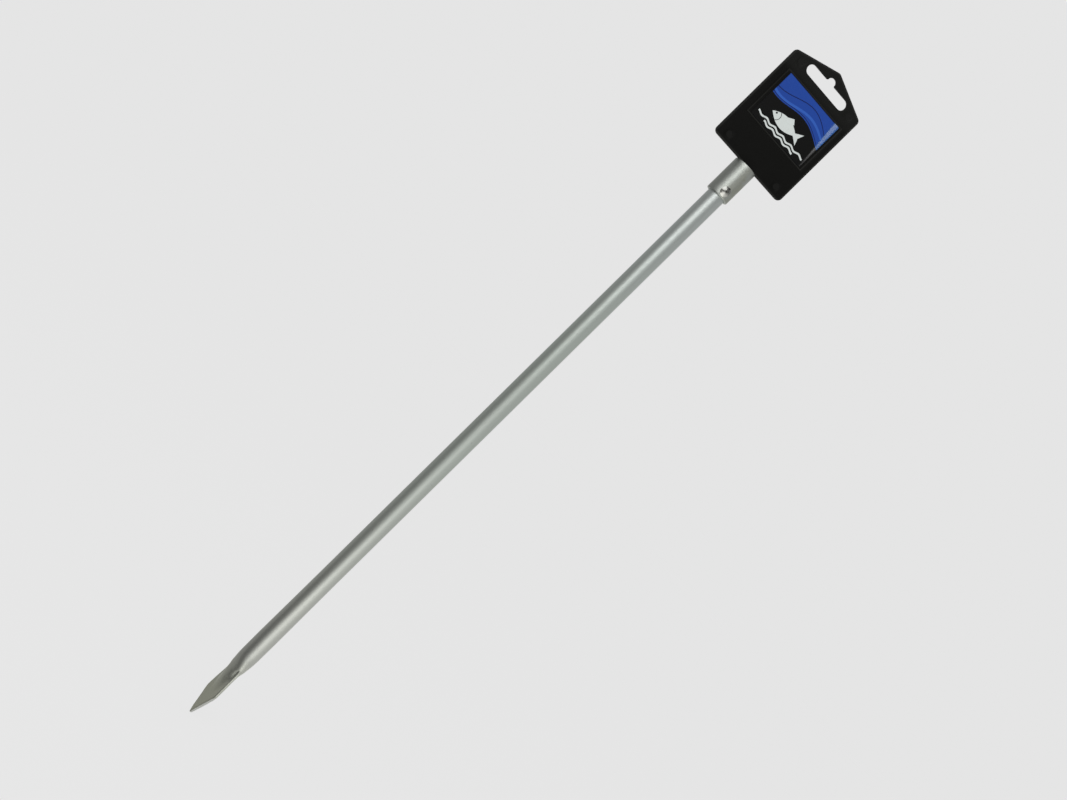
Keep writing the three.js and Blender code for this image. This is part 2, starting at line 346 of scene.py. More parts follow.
tube = {"radius": 6.0, "wall": 1.0, "top": 449.8, "topEdge": 0.08,
        "ribAt": (18, 20.8, 23.8, 26.7, 29.7, 33, 36, 37.5, 39.2, 41.6, 44.6, 47.5, 53, 62, 90,
                  115),
        "ribHigh": (1, 1.3, 1.85, 2.55, 3.15, 3.8, 4.1, 4.2, 4.35, 4.8, 5.47, 5.85, 6.15, 6.22,
                    6.08, 6),
        "ribWide": (8, 8, 8, 8, 8, 8, 7.9, 7.8, 7.65, 7.5, 7.15, 6.65, 6.22, 6.12, 6.02, 6),
        "ribEven": 2.0,                               # the levels are averaged so far either way
        "foldTop": 35.2, "ovalFrom": 40.0,            # where the folds end and the oval begins
        "nearShoulder": 18.0, "farShoulder": 19.0,    # where the two slanting cuts leave the edge
        "pointOver": 0.65, "pointFlat": 0.45,         # the point's place aside, and its width
        "turn": -76.0, "setBack": 0.6,                # how the blade is turned, and set back
        "neckDraw": 1.35,                             # what the neck loses of its width
        "hillTop": 0.8, "hillAt": (19, 27, 33), "hillFoot": (3.8, 7.0, 7.4),
        "hillEnds": (30, 33.5),                       # where the hill becomes the dome
        "domeWide": 6.4, "domePower": 2.45,
        "cutRound": 0.2, "cutSoft": 0.15, "cutThin": 0.26, "cutReach": 1.3,
        "seam": 0.1, "seamWide": 0.05,                # where the two walls meet in the cut
        "pointThin": 0.2, "pointReach": 4.5,
        "die": {"at": 33.4, "slant": 0.05, "wide": 0.35, "high": 0.06},
        "pleat": {"at": (33, 35.6, 37.4, 39), "aside": (2.2, 2.25, 2.4, 2.55), "deep": 0.28,
                  "beside": (0.5, 0.87), "wide": (1.3, 0.42), "starts": (33, 36.8),
                  "ends": (37.8, 40.3)},
        # Where painted shade lies along the pleat's crease.
        "pleatShadeBand": {"aside": 0.15, "wide": 0.85, "starts": (29, 33), "ends": (38.5, 41.5)},
        "wander": 0.05,                               # how far the flats waver
        "hollowFoot": 0.4, "capColumns": 40, "flatColumns": 80,
        "colours": {"low": (0.65, 0.66, 0.605), "middle": (0.595, 0.655, 0.60),
                    "high": (0.61, 0.655, 0.64), "cloudy": (0.55, 0.57, 0.53),
                    "specked": (0.34, 0.35, 0.32), "pressed": (0.715, 0.73, 0.575),
                    # Below, the dull grey is painted shade, on the folds and in the pleat.
                    "dull": (0.45, 0.46, 0.41), "sheared": (0.62, 0.63, 0.59)}}


# Half the thickness of the pressed tube at its middle, which grows from the blade's flat foot up
# the rib to the round, or half its width in the oval: the levels above, averaged.
def crown(z, levels="ribHigh"):
    steps = np.linspace(-tube["ribEven"], tube["ribEven"], 9)
    near = [np.interp(z + step, tube["ribAt"], tube[levels]) for step in steps]
    return sum(near) / len(near)


# Sections of the pressed tube. Low down each is two flats joined by half circles, and a point
# keeps its share of the way round, because pressing keeps the length of the wall. A rib swells
# from the flats: a smooth hill at its foot, and higher up 1 less a power of the share of its half
# width, which ends in a crease. Above, the section eases into an ellipse and then the circle.
# Slanting cuts hold back what would reach past them, and the metal thins toward the near one.
def tubeRows(heights, inward):
    z = heights[:, None]
    radius, half = tube["radius"], tube["wall"]
    neck = eased(z, tube["farShoulder"], tube["foldTop"])
    flat = np.pi * (radius - half) - tube["neckDraw"] * neck
    high = crown(z)
    opened = np.minimum((high - half) / (radius - half), 1)

    caps, flats = tube["capColumns"], tube["flatColumns"]
    capShare = half / radius / 2                       # share of the way round of one fold
    nearCap = np.linspace(-capShare / 2, capShare / 2, caps, endpoint=False)
    front = np.linspace(capShare / 2, 0.5 - capShare / 2, flats, endpoint=False)
    share = np.concatenate([nearCap, front, nearCap + 0.5, front + 0.5])[None, :]
    side = np.where((share < 0.25) | (share >= 0.75), 1.0, -1.0)
    local = np.where(share >= 0.75, share - 1, np.where(share >= 0.25, share - 0.5, share))
    way = local * (2 * np.pi * half + 2 * flat)        # from the middle of the fold
    angle = np.clip(way / half, -np.pi / 2, np.pi / 2)
    beyond = np.clip(np.abs(way) - np.pi / 2 * half, 0, None)
    across = side * (flat / 2 + (half - inward) * np.cos(angle) - beyond)
    through = side * (half - inward) * np.sin(angle)

    off = np.abs(across)
    hill = 1 - eased(off, tube["hillTop"], np.interp(z, tube["hillAt"], tube["hillFoot"]))
    dome = np.clip(1 - (off / tube["domeWide"]) ** tube["domePower"], 0, 1)
    steep = eased(z, *tube["hillEnds"])
    through = through + np.sign(through) * (high - half) * (hill * (1 - steep) + dome * steep)
    oval = eased(z, tube["foldTop"], tube["ovalFrom"])
    wide = crown(z, "ribWide")
    around = 2 * np.pi * share
    across = across * (1 - oval) + (wide - inward) * np.cos(around) * oval
    through = through * (1 - oval) + (high - inward) * np.sin(around) * oval

    fullWidth = np.pi / 2 * (radius - half) + half
    nearFoot = -tube["pointOver"] + tube["pointFlat"] / 2
    farFoot = -tube["pointOver"] - tube["pointFlat"] / 2
    nearEdge = nearFoot + z * (fullWidth - nearFoot) / tube["nearShoulder"]
    farEdge = farFoot - z * (fullWidth + farFoot) / tube["farShoulder"]
    onCap = (np.arange(share.size) % (caps + flats) < caps)[None, :]
    nearEnd, farEnd = np.minimum(flat / 2, nearEdge), np.maximum(-flat / 2, farEdge)
    alongFlat = (across / np.maximum(flat, 0.001) + 0.5).clip(0, 1)
    pressed = z < tube["farShoulder"]
    flatPlace = farEnd + (nearEnd - farEnd) * alongFlat
    across = np.where(pressed & ~onCap, flatPlace, across)
    fold = np.where(onCap & (side > 0), across - nearEdge, np.where(onCap, farEdge - across, -1))
    cut = np.clip(fold / tube["cutSoft"], 0, 1) * pressed
    across = np.where(onCap, np.clip(across, farEdge, nearEdge), across)

    lean = np.abs(through) / half                      # 1 at the edges of a cut face
    corner = tube["cutRound"]
    over = np.clip((np.abs(through) - (half - corner)) / corner, 0, 1)
    drop = corner * (1 - np.sqrt(1 - over ** 2))
    drop = drop + tube["seam"] * np.exp(-(lean / tube["seamWide"]) ** 2)
    near = eased(nearEdge - across, 0, tube["cutReach"])
    point = eased(z, 0, tube["pointReach"])
    thin = 1 - tube["cutThin"] * (1 - near) - tube["pointThin"] * (1 - point)
    across = across - np.sign(side) * drop * cut
    return across, through * thin, angle, opened, cut, onCap


# The whole skin: the point, up the outside, over the top edge and down the inside, with closer
# rows where the shape changes faster. The die leaves a faint line across the blade, and its flats
# waver as two sines of the height. A pleat lies beside the rib, whose depth falls off as the bell
# curve does, slower on its left, and painted shade lies along it on another bell curve and on the
# folds.
def tubeShape():
    top, edge, die, pleat, pleatShadeBand = (tube[k] for k in ("top", "topEdge", "die", "pleat", "pleatShadeBand"))
    heights = np.concatenate([[0, 0.08, 0.25], np.arange(0.6, 20.2, 0.36),
                              np.arange(20.5, 50, 0.45), np.linspace(50, top - 12.8, 30),
                              np.linspace(top - 12.2, top - 0.3, 6), [top - edge]])
    inner = np.concatenate([[top, top - 0.1], np.linspace(top - 1.8, 49, 24),
                            np.arange(48.5, 36.0, -0.6)])
    across, through, angle, opened, cut, onCap = tubeRows(heights, 0.0)
    z = heights[:, None]
    ridge = np.exp(-((z - die["at"] - die["slant"] * across) / die["wide"]) ** 2) * die["high"]
    through = through - np.sign(through) * ridge * (1 - opened) * ~onCap

    onFront = through < 0
    besideX, besideY = pleat["beside"]
    aside = besideX * across + besideY * through - np.interp(z, pleat["at"], pleat["aside"])
    wide = np.where(aside < 0, *pleat["wide"])
    sunk = np.exp(-(aside / wide) ** 2) * onFront * pleat["deep"]
    sunk = sunk * eased(z, *pleat["starts"]) * (1 - eased(z, *pleat["ends"]))
    # Painted shade along the pleat's crease, on its own bell curve.
    pleatShade = np.exp(-((aside - pleatShadeBand["aside"]) / pleatShadeBand["wide"]) ** 2) * onFront
    pleatShade = pleatShade * eased(z, *pleatShadeBand["starts"]) * (1 - eased(z, *pleatShadeBand["ends"]))
    across, through = across - besideY * sunk, through + besideX * sunk
    wander = tube["wander"] * np.sin(z * 0.9 + 1) * np.sin(z * 0.37) * (1 - opened) * (1 - cut)
    through = through + wander * ~onCap
    # Painted shade on the rounded folds of the flattened blade, and in the pleat.
    folded = (1 - opened) * onCap * np.cos(angle) * (1 - cut) + pleatShade
    outside = {"cut": (cut, 1), "pressed": (1 - opened, 1), "folded": (folded, 0)}

    sections = [(across, through, opened, heights)]
    for levels, inward in ((np.array([top]), edge), (inner, tube["wall"])):
        found = tubeRows(levels, inward)
        sections.append((found[0], found[1], found[3], levels))
    rows = []
    for across, through, opened, levels in sections:
        z = np.broadcast_to(levels[:, None], across.shape)
        rows.append(np.stack([across, through - tube["setBack"] * (1 - opened), z], -1))
    rows = np.concatenate(rows)
    turn = math.radians(tube["turn"])
    c, s = math.cos(turn), math.sin(turn)
    rows = np.stack([rows[..., 0] * c - rows[..., 1] * s, rows[..., 0] * s + rows[..., 1] * c,
                     rows[..., 2]], -1)
    ends = np.array([rows[0].mean(0), rows[-1].mean(0) - [0, 0, tube["hollowFoot"]]])
    marks = {}
    for key, (values, atPoint) in outside.items():
        whole = np.zeros(rows.shape[:2])
        whole[:len(heights)] = values
        marks[key] = np.append(whole.ravel(), [atPoint, 0])
    return skin(rows, ends), marks


# Satin drawn aluminium: fine lines along it, cloudy patches and specks, paler where it was pressed
# flat or sheared, and painted shade along the folds and in the pleat.
def drawnTube():
    f, tones = Finish("drawnTube"), tube["colours"]
    x, _, z = f.axes()
    lines = f.noise(1500, 5, detail=4, roughness=0.7)
    clouds = f.noise(45, 12, detail=3, shift=0.4)
    specks = f.noise(700, 500, detail=2, shift=0.9).between(0.66, 0.74)
    cut, pressed, folded = (f.attribute(name) for name in ("cut", "pressed", "folded"))
    clean = f.mixed(z.between(30, 280), tones["low"], tones["middle"])
    clean = f.mixed(z.between(290, 440), clean, tones["high"])
    cloudy = (clouds.between(0.35, 0.7) * 0.35 + lines * 0.18).held()
    worn = f.mixed(cloudy, clean, tones["cloudy"])
    worn = f.mixed((specks * 0.25).held(), worn, tones["specked"])
    worn = f.mixed(pressed * 0.7, worn, tones["pressed"])
    # Painted shade on the folds and in the pleat.
    worn = f.mixed((folded * 0.8).held(), worn, tones["dull"])
    colour = f.mixed(cut, worn, tones["sheared"])
    tears = (z * 9 + x * 3).sine() * 0.5 + 0.5         # fine steps across a sheared edge
    gloss = 0.37 + z.between(60, 230) * 0.025 + lines * 0.08 + (clouds - 0.5) * 0.06
    gloss = gloss + pressed * 0.055 - cut * 0.1
    height = lines + pressed * f.noise(900, 900, shift=2).between(0.3, 0.8) * 0.8
    height = height + cut * tears * 0.6
    return f.principled(Base_Color=colour, Metallic=1.0, Roughness=gloss.held(),
                        Normal=f.bump(height, 0.012))


head = {"foot": 437.9, "top": 462.4, "radius": 7.8, "bore": 6.1, "shoulder": 449.9,
        "footEdge": 0.65, "rimEdge": 0.6, "boreEdge": 0.3, "mouthEdge": 0.12, "innerEdge": 0.1,
        "mouth": 0.75, "threadFoot": (1.2, 2.4), "longest": 2.5, "sides": 144,
        # Of these colours, the darker one at its left is painted shade, and the pale one at its
        # front a painted highlight.
        "colours": {"metal": (0.475, 0.50, 0.465), "ringed": (0.42, 0.44, 0.41),
                    "shadedLeft": (0.36, 0.38, 0.35), "stained": (0.36, 0.365, 0.27),
                    "paleSheen": (0.60, 0.615, 0.54)}}


# A ring of a profile: bore, foot, outside, rim, and the screw thread down to the shoulder. Its
# long sides are cut into short ones.
def headShape():
    outer, bore, foot, top = head["radius"], head["bore"], head["foot"], head["top"]
    socket, shoulder, mouth = screw["socketRadius"], head["shoulder"], head["mouth"]
    small = head["innerEdge"]
    path = rounded([(bore, shoulder, small), (bore, foot, head["boreEdge"]),
                    (outer, foot, head["footEdge"]), (outer, top, head["rimEdge"]),
                    (socket + mouth, top, head["mouthEdge"]), (socket, top - mouth, small),
                    (socket, shoulder, small)])
    filled = []
    for start, end in zip(path, np.roll(path, -1, 0)):
        onThread = abs(start[0] - socket) < 0.2 and abs(end[1] - start[1]) > 1
        longest = screw["pitch"] / screw["turnRows"] if onThread else head["longest"]
        steps = max(1, math.ceil(np.linalg.norm(end - start) / longest))
        filled.append(start + (end - start) * np.linspace(0, 1, steps, endpoint=False)[:, None])
    profile = np.concatenate(filled)

    # The socket's groove, which runs out at both ends.
    def grooves(angle, height, radius):
        starts, full = (shoulder + rise for rise in head["threadFoot"])
        inSocket = (np.abs(radius - socket) < 0.02) * eased(height, starts, full)
        inSocket = inSocket * (1 - eased(height, top - mouth - screw["runOut"], top - mouth))
        return -screw["socketDepth"] * thread(angle, height) * inSocket

    return skin(turned(profile, head["sides"], grooves))


# Turned aluminium with fine rings round it, a painted highlight at its front, painted shade at its
# left, and stained in cloudy olive patches.
def turnedHead():
    f, tones = Finish("turnedHead"), head["colours"]
    x = f.axes()[0]
    rings = f.noise(60, 5200, detail=2, roughness=0.6)
    stain = f.noise(170, 120, detail=5, roughness=0.62, shift=0.31)
    blots = f.noise(480, 420, detail=4, roughness=0.6, shift=0.77)
    stained = (stain.between(0.4, 0.72) * 0.6 + blots.between(0.52, 0.72) * 0.35).held()
    stained = stained * ((x + 1) / 7).between(-0.35, 0.6)
    colour = f.mixed(rings * 0.3, tones["metal"], tones["ringed"])
    # Painted shade on its left side.
    shadedLeft = 1 - (x + blots * 2).between(-6.6, -3.8)
    colour = f.mixed(shadedLeft * 0.8, colour, tones["shadedLeft"])
    colour = f.mixed(stained, colour, tones["stained"])
    # A painted highlight on its front.
    paleSheen = x.between(-1.2, 0.8) * (1 - x.between(1.6, 3.2))
    colour = f.mixed(paleSheen * (0.6 - rings * 0.2), colour, tones["paleSheen"])
    gloss = 0.40 + rings * 0.07 + stained * 0.1
    height = rings * 0.6 + blots * 0.4
    return f.principled(Base_Color=colour, Metallic=1.0, Roughness=gloss.held(),
                        Normal=f.bump(height, 0.012))


rivet = {"height": 442.1, "seat": 7.75, "radius": 3.1, "rim": 0.22, "rise": 1.1, "mouth": 1.0,
         "edge": 0.08, "drawn": 1.12, "shank": 1.6, "bore": 0.88, "grip": 2.85, "bulb": 2.6,
         "bulbSwell": 0.5, "sides": 72,
         "lean": (0.45, 0.5), "leans": (-2.5, 0.2),    # how far askew, and between which depths
         "stem": 0.78, "break": 0.15, "torn": (0.05, 0.03), "mandrelHead": 1.4,
         "mandrelCap": 1.6, "mandrelLeans": (-2.5, 0.1), "mandrelSides": 40,
         # Spots of painted shade round the dome's rim.
         "paintedShade": ((0.7, 2.95, 0.92, 0.9), (-2.35, -0.8, 0.9, 0.65), (-1.4, -0.6, 0.7, 0.6),
                  (-1.95, -1.9, 0.65, 0.6)),           # each spot's place, radius and strength
         # The darker top and lighter foot are painted, to set the strengths of the two highlights,
         # and the spots' near-black is painted shade.
         "colours": {"top": (0.33, 0.335, 0.315), "foot": (0.60, 0.60, 0.55),
                     "dull": (0.33, 0.33, 0.31), "paintedShade": (0.04, 0.04, 0.035),
                     "steel": (0.05, 0.048, 0.045), "broken": (0.2, 0.19, 0.18)}}


# Lays rows turned about the stick's axis onto the rivet's axis, facing the front. The rivet was
# pulled askew, so the rows shift aside by a share of its lean, and its head is drawn out longer
# up the stick.
def onRivet(rows, share, drawn=1.0):
    across, up = rivet["lean"]
    return np.stack([rows[..., 0] + across * share, -rivet["seat"] - rows[..., 2],
                     rows[..., 1] * drawn + rivet["height"] + up * share], -1)


# A ring of a profile: bore, shank, bulb, flat under the head, and a dome that falls with the
# square of the radius from the hole's lip to its rim.
def rivetShape():
    bore, radius, rise, shank = rivet["bore"], rivet["radius"], rivet["rise"], rivet["shank"]
    mouth, rim, edge, low = rivet["mouth"], rivet["rim"], rivet["edge"], -rivet["grip"]
    reach = np.linspace(radius, mouth, 16)
    fall = (reach ** 2 - mouth ** 2) / (radius ** 2 - mouth ** 2)
    dome = np.stack([reach, rise - (rise - rim) * fall], -1)
    lip = [(mouth - 0.05, rise - 0.04), (mouth - 0.1, rise - 0.14), (bore, rise - 0.5)]
    wall = [(bore, depth) for depth in (0.2, -0.4, -1.2, -2.5)]
    swell = np.linspace(0, np.pi, 11)
    bulb = np.stack([shank + rivet["bulbSwell"] * np.sin(swell),
                     low - rivet["bulb"] * swell / np.pi], -1)
    foot = [(bore, low - rivet["bulb"]), (bore + 0.3, low - rivet["bulb"])]
    under = [(shank, -edge), (shank + edge, 0), (radius - edge, 0), (radius, edge)]
    profile = np.concatenate([foot, bulb[::-1], under, dome, lip, wall])
    onBore = eased(profile[:, 1], *rivet["leans"])
    inward = np.clip((radius - profile[:, 0]) / (radius - mouth), 0, 1)
    inward = inward * onBore * (profile[:, 1] > rim - 0.01)
    inward = np.where(profile[:, 0] <= bore, onBore, inward)
    drawn = 1 + (rivet["drawn"] - 1) * eased(profile[:, :1], shank, radius)
    return skin(onRivet(turned(profile, rivet["sides"]), inward[:, None], drawn))


# Bright pressed aluminium with faint setting marks, painted darker at its top and lighter at its
# foot, which sets the strengths of its two highlights, with painted shade in spots at its rim.
def rivetSkin():
    f, tones = Finish("rivetSkin"), rivet["colours"]
    x, _, z = f.axes()
    z = z - rivet["height"]
    grain = f.noise(900, detail=3)
    dull = f.noise(350, detail=3, shift=0.5).between(0.45, 0.75)
    # Painted darker at the top and lighter at the foot, which sets the strengths of the two
    # highlights.
    colour = f.mixed(1 - z.between(-1.6, 0.4), tones["top"], tones["foot"])
    colour = f.mixed(dull * 0.4, colour, tones["dull"])
    # Spots of painted shade round the dome's rim.
    for shadeX, shadeZ, radius, share in rivet["paintedShade"]:
        paintedShade = 1 - fromPoint(x, z, (shadeX, shadeZ)).between(radius * 0.4, radius)
        colour = f.mixed(paintedShade * share, colour, tones["paintedShade"])
    return f.principled(Base_Color=colour, Metallic=1.0, Roughness=0.17 + grain * 0.12,
                        Normal=f.bump(grain, 0.01))


# A bag: rounded cap inside the tube, stem through the rivet, and a torn end below its lip, whose
# edge rises and falls as two sines of the angle.
def mandrelShape():
    stem, torn, wide = rivet["stem"], rivet["break"], rivet["mandrelHead"]
    seat, cap = -rivet["grip"] - rivet["bulb"] - 0.1, rivet["mandrelCap"]
    turn = np.linspace(0.12, np.pi / 2, 9)
    dome = np.stack([wide * np.sin(turn), seat - cap * np.cos(turn)], -1)
    shaft = [(wide, seat), (stem, seat), (stem, seat + 2), (stem, torn - 1.3), (stem, torn - 0.5),
             (stem - 0.04, torn - 0.2), (stem * 0.8, torn - 0.08), (stem * 0.55, torn - 0.02),
             (stem * 0.3, torn)]
    profile = np.concatenate([dome, shaft])
    rows = turned(profile, rivet["mandrelSides"])
    angle = np.linspace(0, 2 * np.pi, rivet["mandrelSides"], endpoint=False)
    broad, fine = rivet["torn"]
    ragged = np.sin(3 * angle + 1) * broad + np.sin(7 * angle) * fine
    rows[..., 2] += ragged * np.clip((profile[:, 1] - (torn - 0.3)) / 0.3, 0, 1)[:, None]
    rows = onRivet(rows, eased(profile[:, 1], *rivet["mandrelLeans"])[:, None])
    ends = np.array([[0, -rivet["seat"] - seat + cap, rivet["height"]],
                     rows[-1].mean(0) - [0, 0.05, 0]])
    return skin(rows, ends)


# Dull broken steel, rough and dark.
def mandrelEnd():
    f, tones = Finish("mandrelEnd"), rivet["colours"]
    torn = f.noise(2600, detail=4)
    colour = f.mixed(torn.between(0.35, 0.7), tones["steel"], tones["broken"])
    return f.principled(Base_Color=colour, Metallic=0.9, Roughness=0.5 + torn * 0.2,
                        Normal=f.bump(torn, 0.06))


card = {"width": 59.6, "base": 462.45, "side": 68.6, "peak": 541.15, "thickness": 2.0,
        "corner": 3.1, "peakCorner": 3.6, "edge": 0.3, "draft": 0.06, "flatRing": 0.25,
        "cornerSteps": 9,
        "slotBase": 526.1, "slotTop": 532.95, "slotLength": 34.5, "slotMiddle": 0.2,
        "humpRadius": 3.0, "humpHeight": 533.3, "humpFillet": 0.7,
        "recess": (-24.0, 485.2, 25.0, 519.9), "recessCorner": 0.9, "recessDepth": 0.35,
        "recessFlat": 0.5, "markRadius": 2.05, "markDepth": 0.07,
        "marks": [(-21.6, 467.9), (21.6, 467.9), (-22.2, 528.0), (22.2, 528.0)],
        "paleFrom": (518, 524),                        # the plate is a little greyer above these
        "colours": {"black": (0.0013, 0.0013, 0.0007), "cloudy": (0.0042, 0.0042, 0.0033),
                    # The pale grey is a painted highlight round the label's recess, and paler along
                    # the rim.
                    "upper": (0.0085, 0.0088, 0.0075), "paleSheen": (0.019, 0.019, 0.017),
                    "marks": (0.0098, 0.0098, 0.0088)}}


# A square foot and a low gable, every corner an arc.
def cardOutline():
    side, base, high, corner = card["width"] / 2, card["base"], card["side"], card["corner"]
    return rounded([(-side, base, corner), (side, base, corner), (side, base + high, corner),
                    (0, card["peak"], card["peakCorner"]), (-side, base + high, corner)],
                   card["cornerSteps"])


# The display slot: a round-ended slot with a round hump at the middle of its top.
def slotOutline():
    low, high, radius = card["slotBase"], card["slotTop"], (card["slotTop"] - card["slotBase"]) / 2
    run, middle = card["slotLength"] / 2 - radius, (low + high) / 2
    right = np.linspace(-np.pi / 2, np.pi / 2, 15)
    hump = np.linspace(0, np.pi, 19)
    fillet = np.linspace(-np.pi / 2, -np.pi, 6)[:-1]
    bump, gap = card["humpRadius"], card["humpFillet"]
    path = [np.stack([run + radius * np.cos(right), middle + radius * np.sin(right)], -1),
            np.stack([bump + gap + gap * np.cos(fillet), high + gap + gap * np.sin(fillet)], -1),
            np.stack([bump * np.cos(hump), card["humpHeight"] + bump * np.sin(hump)], -1)]
    path.append(path[1][::-1] * [-1, 1])
    path.append(path[0][::-1] * [-1, 1])
    return np.concatenate(path) + [card["slotMiddle"], 0]


# Points at even angles round a centre, each at the radius.
def circle(x, z, radius, steps=28):
    angle = np.linspace(0, 2 * np.pi, steps, endpoint=False)
    return np.stack([x + radius * np.cos(angle), z + radius * np.sin(angle)], -1)


# The path moved to its left by the distance, each corner along the middle of its sides.
def inset(path, distance):
    before, after = path - np.roll(path, 1, 0), np.roll(path, -1, 0) - path
    before /= np.linalg.norm(before, axis=1, keepdims=True)
    after /= np.linalg.norm(after, axis=1, keepdims=True)
    along = before + after
    along /= np.linalg.norm(along, axis=1, keepdims=True)
    normal = np.stack([-along[:, 1], along[:, 0]], -1)
    stretch = 1 / np.clip(np.einsum("ij,ij->i", along, after), 0.5, 1)
    return path + normal * stretch[:, None] * distance


# Which points lie inside a closed path, by counting the sides to their right.
def inside(points, path):
    x, z = points[:, :1], points[:, 1:]
    a, b = path, np.roll(path, -1, 0)
    crosses = (a[:, 1] > z) != (b[:, 1] > z)
    reach = a[:, 0] + (z - a[:, 1]) * (b[:, 0] - a[:, 0]) / (b[:, 1] - a[:, 1] + 1e-12)
    return (crosses & (x < reach)).sum(1) % 2 == 1


# Gathers flat fills and strips between paths, which meet at equal points, into one mesh.
class Sheet:
    def __init__(self):
        self.points, self.quads, self.triangles = [], [], []

    # Keeps the points and says where they start.
    def place(self, points):
        start = sum(len(p) for p in self.points)
        self.points.append(points)
        return start

    # Quads between two paths of equally many points, each at its depth.
    def strip(self, first, firstDepth, second, secondDepth):
        low = self.place(np.insert(first, 1, firstDepth, 1)) + np.arange(len(first))
        high = self.place(np.insert(second, 1, secondDepth, 1)) + np.arange(len(first))
        self.quads.append(np.stack([low, np.roll(low, -1), np.roll(high, -1), high], -1))

    # Even triangles inside the first path and outside the others, at one depth.
    def fill(self, paths, depth, spacing=2.4):
        around = np.concatenate(paths)
        sides, start = [], 0
        for path in paths:
            ids = np.arange(len(path)) + start
            sides += np.stack([ids, np.roll(ids, -1)], -1).tolist()
            start += len(path)
        low, high = paths[0].min(0) + spacing / 2, paths[0].max(0)
        x, z = np.meshgrid(np.arange(low[0], high[0], spacing), np.arange(low[1], high[1], spacing))
        inner = np.stack([x.ravel(), z.ravel()], -1)
        near = np.linalg.norm(inner[:, None] - around[None], axis=2).min(1)
        keep = inside(inner, paths[0]) & (near > spacing * 0.4)
        for path in paths[1:]:
            keep &= ~inside(inner, path)
        flat = np.concatenate([around, inner[keep]])
        found = delaunay_2d_cdt(list(map(Vector, flat.tolist())), sides, [], 0, 1e-6)
        points, triangles = np.array(found[0]), np.array(found[2])
        middle = points[triangles].mean(1)
        kept = inside(middle, paths[0])
        for path in paths[1:]:
            kept &= ~inside(middle, path)
        start = self.place(np.insert(points, 1, depth, 1))
        self.triangles.append(triangles[kept] + start)

    # All points and faces.
    def gathered(self):
        faces = [np.concatenate(found).tolist() for found in (self.quads, self.triangles)]
        return np.concatenate(self.points), faces[0] + faces[1]


# A plate with rounded, slightly drafted edges, a slot, a label recess on its front and the round
# marks of the mould's ejector pins on both sides. Each edge is a strip between two paths, and the
# flats between them are filled.
def cardShape():
    sheet = Sheet()
    half, edge, draft = card["thickness"] / 2, card["edge"], card["draft"]
    outline, slot = cardOutline(), slotOutline()[::-1]
    turn = np.linspace(0, np.pi / 2, 5)
    away = np.append(edge * (1 - np.cos(turn)) + draft, edge + draft + card["flatRing"])
    depth = np.append(half - edge + edge * np.sin(turn), half)
    for path in (outline, slot):
        for face in (-1, 1):
            loops = [(path, 0.0)] + [(inset(path, a), face * d) for a, d in zip(away, depth)]
            for (first, firstDepth), (second, secondDepth) in zip(loops, loops[1:]):
                sheet.strip(first, firstDepth, second, secondDepth)
    outer, hole = inset(outline, away[-1]), inset(slot, away[-1])
    x0, z0, x1, z1 = card["recess"]
    r, flat, floor = card["recessCorner"], card["recessFlat"], -half + card["recessDepth"]
    recess = rounded([(x0, z0, r), (x1, z0, r), (x1, z1, r), (x0, z1, r)])
    steps = [(0.0, -half), (0.07, -half + 0.03), (0.12, -half + 0.12), (0.16, floor - 0.04),
             (0.24, floor), (flat, floor)]             # how far in, and at what depth
    for (a, d), (b, e) in zip(steps, steps[1:]):
        sheet.strip(inset(recess, a), d, inset(recess, b), e)
    sheet.fill([inset(recess, flat)], floor)
    rims = {-1: [], 1: []}
    for face in (-1, 1):
        for x, z in card["marks"]:
            r, sink = card["markRadius"], card["markDepth"]
            rings = [(r, 0.0), (r - 0.05, sink * 0.4), (r - 0.1, sink), (r - 0.35, sink)]
            for (a, d), (b, e) in zip(rings, rings[1:]):
                sheet.strip(circle(x, z, a), face * (half - d), circle(x, z, b), face * (half - e))
            sheet.fill([circle(x, z, rings[-1][0])], face * (half - sink), 1.2)
            rims[face].append(circle(x, z, r))
    sheet.fill([outer, hole, recess] + rims[-1], -half)
    sheet.fill([outer, hole] + rims[1], half)
    return sheet.gathered()


# Black moulded plastic: fine satin grain, with faint flow clouds and dust, a little greyer at its
# top, paler along its rim, a painted highlight line round the label's recess, and paler where the
# ejector pins met it.
def mouldedBlack():
    f, tones = Finish("mouldedBlack"), card["colours"]
    x, y, z = f.axes()
    grain = f.noise(5200, detail=2)
    flow = f.noise(60, 40, detail=3, shift=0.6)
    dust = f.noise(2300, detail=2, shift=0.2).between(0.7, 0.78)
    pins = None
    for mark in card["marks"]:
        away = fromPoint(x, z, mark)
        pin = 1 - away.between(card["markRadius"] - 0.25, card["markRadius"] + 0.05)
        pins = pin if pins is None else pins.most(pin)
    colour = f.mixed((flow * 0.5 + dust * 0.5).held(), tones["black"], tones["cloudy"])
    colour = f.mixed(z.between(*card["paleFrom"]) * 0.75, colour, tones["upper"])
    side, base, peak = card["width"] / 2, card["base"], card["peak"]
    pitch = (peak - base - card["side"]) / side
    fromGable = (abs(x) * pitch + z - peak) / math.hypot(1, pitch)
    fromRim = fromBox(x, z, (-side, base, side, peak)).most(fromGable)
    onFront = 1 - y.between(-0.6, -0.4)
    # A painted highlight line round the label's recess, and paler along the rim.
    paleSheen = (1 - abs(fromBox(x, z, card["recess"]) + 0.1).between(0.15, 0.6)) * onFront
    paleSheen = paleSheen.most(fromRim.between(-1.5, -0.8))
    colour = f.mixed(paleSheen * (flow * 0.6 + 0.4), colour, tones["paleSheen"])
    colour = f.mixed(pins * 0.6, colour, tones["marks"])
    gloss = 0.44 + flow * 0.1 + grain * 0.06 - pins * 0.06
    return f.principled(Base_Color=colour, Roughness=gloss.held(), Specular_IOR_Level=0.13,
                        Normal=f.bump(grain * (1 - pins * 0.7), 0.006))


